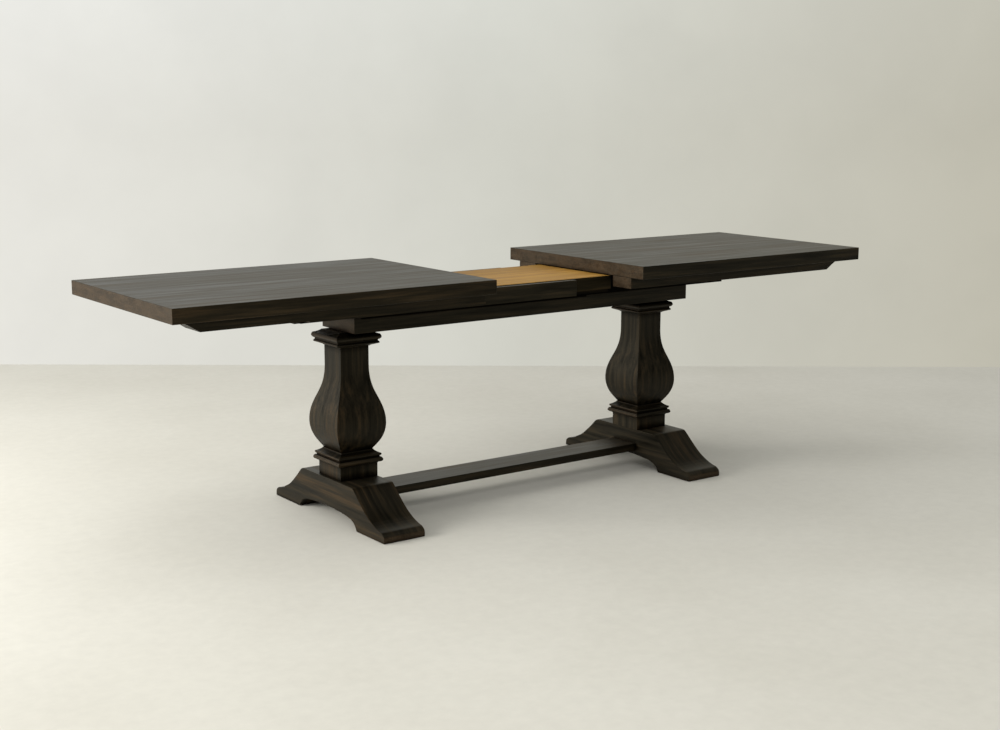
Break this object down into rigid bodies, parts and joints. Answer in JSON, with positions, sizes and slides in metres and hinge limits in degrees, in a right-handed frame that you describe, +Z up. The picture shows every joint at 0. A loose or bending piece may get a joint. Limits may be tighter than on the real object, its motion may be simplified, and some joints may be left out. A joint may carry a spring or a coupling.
{
  "type": "extendable dining table",
  "caption": "Dark-stained trestle dining table with two sliding tops pulled open over a natural-wood leaf folded away in the gap.",
  "frame": {"origin": "on the floor, under the middle of the gap between the two open tops, midway between the two trestle feet", "axes": "+X along the table towards the right-hand top, +Y towards the back, +Z up"},
  "size_m": [2.6714, 0.722, 0.762],
  "materials": {
    "dark_stained_wood": "satin",
    "natural_wood": "satin",
    "zinc_steel": "satin",
    "brass": "satin",
    "nylon": "matte",
    "felt": "matte"
  },
  "bodies": {
    "base": {"foot_left": "dark_stained_wood", "foot_right": "dark_stained_wood", "floor_glides_left": "nylon", "floor_glides_right": "nylon", "plinth_block_left": "dark_stained_wood", "plinth_block_right": "dark_stained_wood", "column_left": "dark_stained_wood", "column_right": "dark_stained_wood", "base_moulding_left": "dark_stained_wood", "base_moulding_right": "dark_stained_wood", "capital_moulding_left": "dark_stained_wood", "capital_moulding_right": "dark_stained_wood", "tie_rods": "zinc_steel", "tie_rod_nuts_and_washers": "zinc_steel", "stretcher": "dark_stained_wood", "stretcher_bolts": "zinc_steel", "beam": "dark_stained_wood", "base_screws": "zinc_steel", "fixed_runner_front": "dark_stained_wood", "fixed_runner_back": "dark_stained_wood", "frame_board_front": "dark_stained_wood", "frame_board_back": "dark_stained_wood", "frame_end_boards": "dark_stained_wood", "pinion_axles": "zinc_steel", "leaf_tray_bottom": "dark_stained_wood", "leaf_tray_side_front": "natural_wood", "leaf_tray_side_back": "natural_wood", "leaf_hinges": "brass", "leaf_half_lower": "natural_wood", "leaf_half_upper": "natural_wood", "leaf_felt_pads": "felt", "leaf_stop_blocks": "natural_wood"},
    "left_half": {"apron_left_front": "dark_stained_wood", "apron_left_back": "dark_stained_wood", "inner_rail_left_front": "dark_stained_wood", "inner_rail_left_back": "dark_stained_wood", "end_rail_left": "dark_stained_wood", "slide_left_front": "dark_stained_wood", "slide_left_back": "dark_stained_wood", "slide_risers_left": "dark_stained_wood", "table_top_left": "dark_stained_wood", "apron_screws_left": "zinc_steel", "slide_bolts_left": "zinc_steel", "rack_left": "zinc_steel", "gap_rail_front": "dark_stained_wood", "gap_rail_back": "dark_stained_wood"},
    "right_half": {"apron_right_front": "dark_stained_wood", "apron_right_back": "dark_stained_wood", "inner_rail_right_front": "dark_stained_wood", "inner_rail_right_back": "dark_stained_wood", "end_rail_right": "dark_stained_wood", "slide_right_front": "dark_stained_wood", "slide_right_back": "dark_stained_wood", "slide_risers_right": "dark_stained_wood", "table_top_right": "dark_stained_wood", "apron_screws_right": "zinc_steel", "slide_bolts_right": "zinc_steel", "rack_right": "zinc_steel"},
    "front_pinion": {"pinion_front": "brass"},
    "back_pinion": {"pinion_back": "brass"}
  },
  "joints": [
    {"name": "left_top_slide", "type": "slide", "parent": "base", "child": "left_half", "axis": [1, 0, 0], "range_m": [0, 0.292]},
    {"name": "right_top_slide", "type": "slide", "parent": "base", "child": "right_half", "axis": [-1, 0, 0], "range_m": [0, 0.292]},
    {"name": "front_pinion_spin", "type": "hinge", "parent": "base", "child": "front_pinion", "pos_m": [0, -0.0745, 0.645], "axis": [0, 0, 1], "continuous": true},
    {"name": "back_pinion_spin", "type": "hinge", "parent": "base", "child": "back_pinion", "pos_m": [0, 0.0745, 0.645], "axis": [0, 0, 1], "continuous": true}
  ],
  "couplings": [
    {"joint": "right_top_slide", "follows": "left_top_slide", "ratio": 1},
    {"joint": "front_pinion_spin", "follows": "left_top_slide", "rad_per_m": 35.714},
    {"joint": "back_pinion_spin", "follows": "left_top_slide", "rad_per_m": -35.714}
  ]
}
